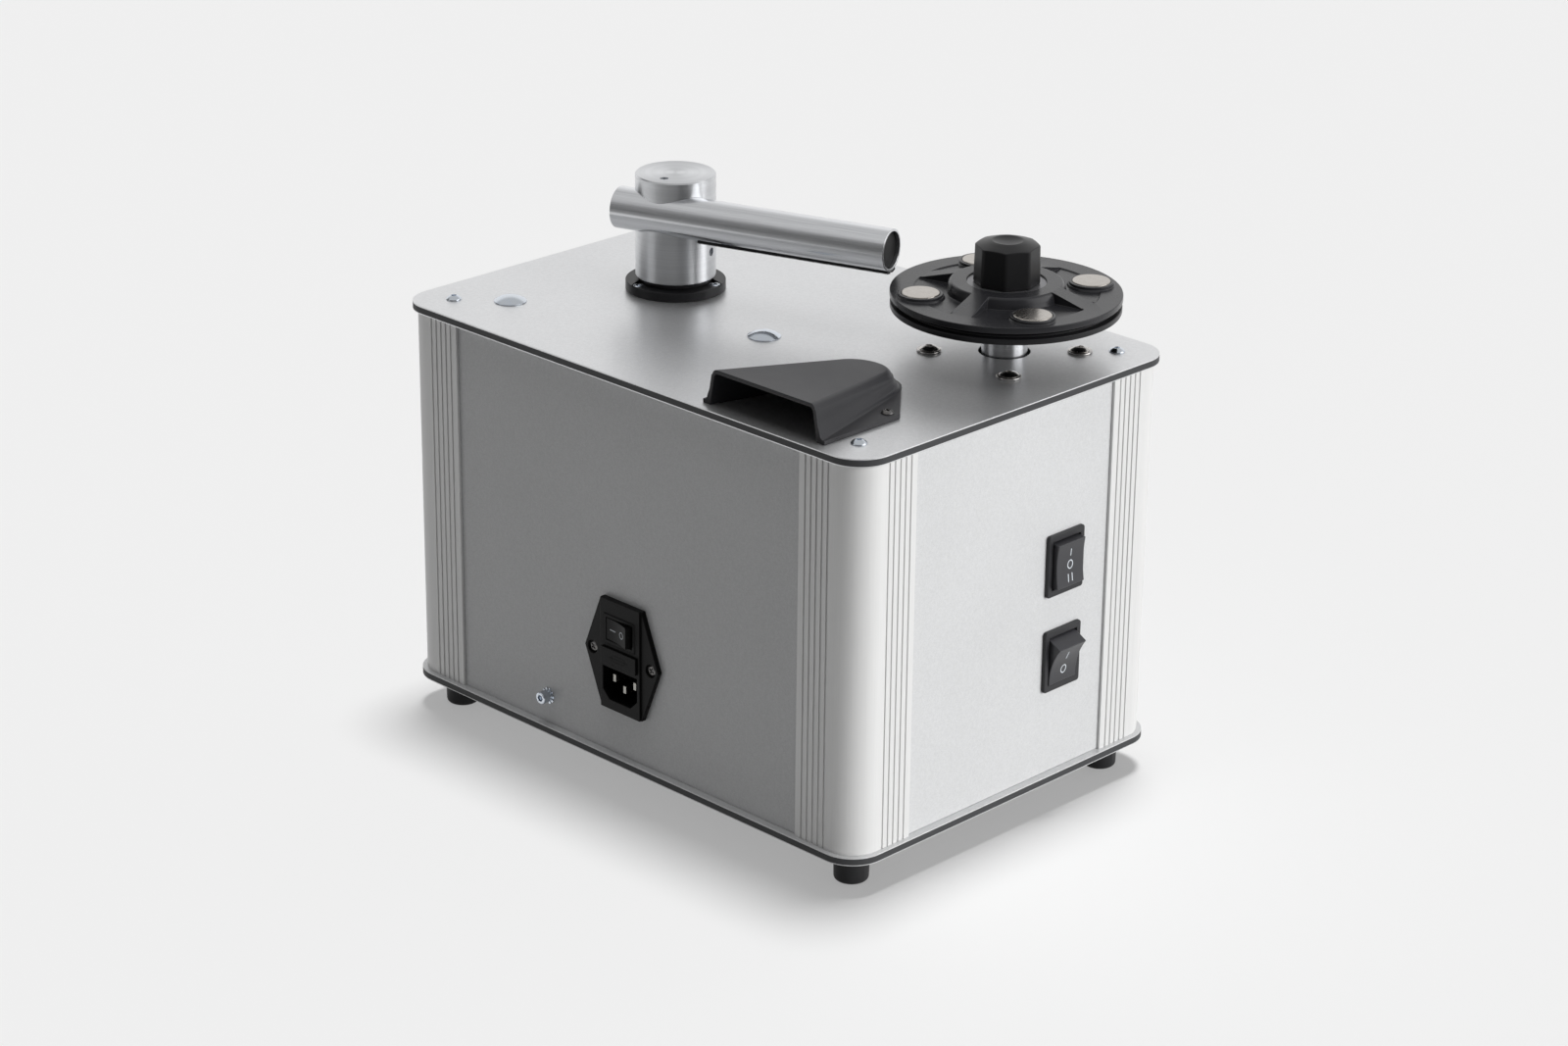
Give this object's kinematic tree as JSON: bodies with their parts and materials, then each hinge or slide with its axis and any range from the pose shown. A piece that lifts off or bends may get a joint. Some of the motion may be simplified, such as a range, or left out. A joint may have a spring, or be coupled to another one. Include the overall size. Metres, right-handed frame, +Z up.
{
  "type": "record cleaning machine",
  "caption": "Record cleaning machine: an aluminium box with a swivelling suction arm, a driven platter with a screw clamp, an exhaust hood, rocker switches and a mains inlet.",
  "frame": {"origin": "on the floor, under the middle of the two plates", "axes": "+Z up; +X along the plates, towards the switches and the platter; -Y towards the mains inlet and the exhaust's mouth"},
  "size_m": [0.3143, 0.2157, 0.2719],
  "materials": {
    "anodised_plate": "brushed, anodised",
    "anodised_post": "satin anodised",
    "anodised_panel": "satin anodised",
    "turned_aluminium": "turned, bright",
    "zinc_steel": "zinc plated",
    "dark_nickel": "dark nickel",
    "black_oxide": "black oxide",
    "shaft_steel": "ground",
    "nickel": "nickel plated",
    "contact_metal": "nickel plated",
    "black_rubber": "matt",
    "black_plastic": "fine grain",
    "switch_plastic": "semi-gloss",
    "disc_plastic": "fine grain",
    "velvet": "velvet pile",
    "hose_plastic": "ribless",
    "tank_plastic": "natural",
    "blower_metal": "painted",
    "gearbox_metal": "cast, painted",
    "bracket_steel": "painted",
    "capacitor_plastic": "plain",
    "fuse_glass": "clear",
    "lead_cover": "plain"
  },
  "bodies": {
    "case": {"top_plate": "anodised_plate", "bottom_plate": "anodised_plate", "post_rear_left": "anodised_post", "post_rear_right": "anodised_post", "post_front_left": "anodised_post", "post_front_right": "anodised_post", "rear_panel": "anodised_panel", "front_panel": "anodised_panel", "end_panel": "anodised_panel", "switch_panel": "anodised_panel", "rubber_feet": "black_rubber", "corner_screws": "zinc_steel", "arm_flange": "black_plastic", "flange_screws": "zinc_steel", "swivel_gland": "black_plastic", "suction_hose": "hose_plastic", "waste_tank": "tank_plastic", "drain_plug": "black_plastic", "air_hose": "hose_plastic", "blower_casing": "blower_metal", "blower_motor": "blower_metal", "blower_bracket": "bracket_steel", "carriage_bolts": "zinc_steel", "exhaust_hose": "hose_plastic", "exhaust_hood": "black_plastic", "hood_screws": "black_oxide", "gear_motor": "gearbox_metal", "motor_screws": "dark_nickel", "motor_switch_housing": "switch_plastic", "vacuum_switch_housing": "switch_plastic", "inlet_housing": "black_plastic", "inlet_pins": "contact_metal", "inlet_screws": "black_oxide", "earth_screw": "zinc_steel", "star_washer": "zinc_steel", "run_capacitor": "capacitor_plastic", "wiring_leads": "lead_cover"},
    "arm_turn": {"guide_bush": "black_plastic"},
    "arm": {"arm_pipe": "turned_aluminium", "arm_column": "turned_aluminium", "set_screws": "black_oxide", "suction_tube": "turned_aluminium", "tube_plugs": "black_plastic", "velvet_strips": "velvet"},
    "platter": {"drive_shaft": "shaft_steel", "lower_platter": "black_plastic", "lower_seal": "black_rubber", "spindle": "shaft_steel"},
    "clamp": {"clamp_disc": "disc_plastic", "clamp_magnets": "nickel", "upper_seal": "black_rubber", "hub_ring": "zinc_steel"},
    "knob": {"clamp_knob": "black_plastic"},
    "impeller": {"blower_impeller": "anodised_panel"},
    "motor_rocker": {"motor_switch_rocker": "switch_plastic"},
    "vacuum_rocker": {"vacuum_switch_rocker": "switch_plastic"},
    "power_rocker": {"inlet_rocker": "switch_plastic"},
    "drawer": {"fuse_drawer": "black_plastic", "fuse": "fuse_glass"}
  },
  "joints": [
    {"name": "arm_swivel", "type": "hinge", "parent": "case", "child": "arm_turn", "pos_m": [-0.0753, 0.0033, 0.2202], "axis": [0, 0, 1], "range_deg": [-120, 120]},
    {"name": "arm_lift", "type": "slide", "parent": "arm_turn", "child": "arm", "axis": [0, 0, 1], "range_m": [-0.0018, 0.008]},
    {"name": "platter_spin", "type": "hinge", "parent": "case", "child": "platter", "pos_m": [0.0986, 0.05, 0.235], "axis": [0, 0, 1], "continuous": true},
    {"name": "clamp_lift", "type": "slide", "parent": "platter", "child": "clamp", "axis": [0, 0, 1], "range_m": [0, 0.003]},
    {"name": "knob_turn", "type": "hinge", "parent": "clamp", "child": "knob", "pos_m": [0.0986, 0.05, 0.2475], "axis": [0, 0, 1], "range_deg": [0, 1080]},
    {"name": "impeller_spin", "type": "hinge", "parent": "case", "child": "impeller", "pos_m": [-0.0542, -0.04325, 0.137], "axis": [0, 0, 1], "continuous": true},
    {"name": "motor_switch_tilt", "type": "hinge", "parent": "case", "child": "motor_rocker", "pos_m": [0.1489, 0.0365, 0.1266], "axis": [0, 1, 0], "range_deg": [-10, 10]},
    {"name": "vacuum_switch_tilt", "type": "hinge", "parent": "case", "child": "vacuum_rocker", "pos_m": [0.1489, 0.0365, 0.0782], "axis": [0, 1, 0], "range_deg": [-34, 0]},
    {"name": "power_switch_tilt", "type": "hinge", "parent": "case", "child": "power_rocker", "pos_m": [0.0008, -0.1036, 0.0856], "axis": [0, 0, 1], "range_deg": [0, 20]},
    {"name": "fuse_drawer_slide", "type": "slide", "parent": "case", "child": "drawer", "axis": [0, -1, 0], "range_m": [0, 0.022]}
  ],
  "couplings": [
    {"joint": "knob_turn", "follows": "clamp_lift", "rad_per_m": 6283.2}
  ]
}
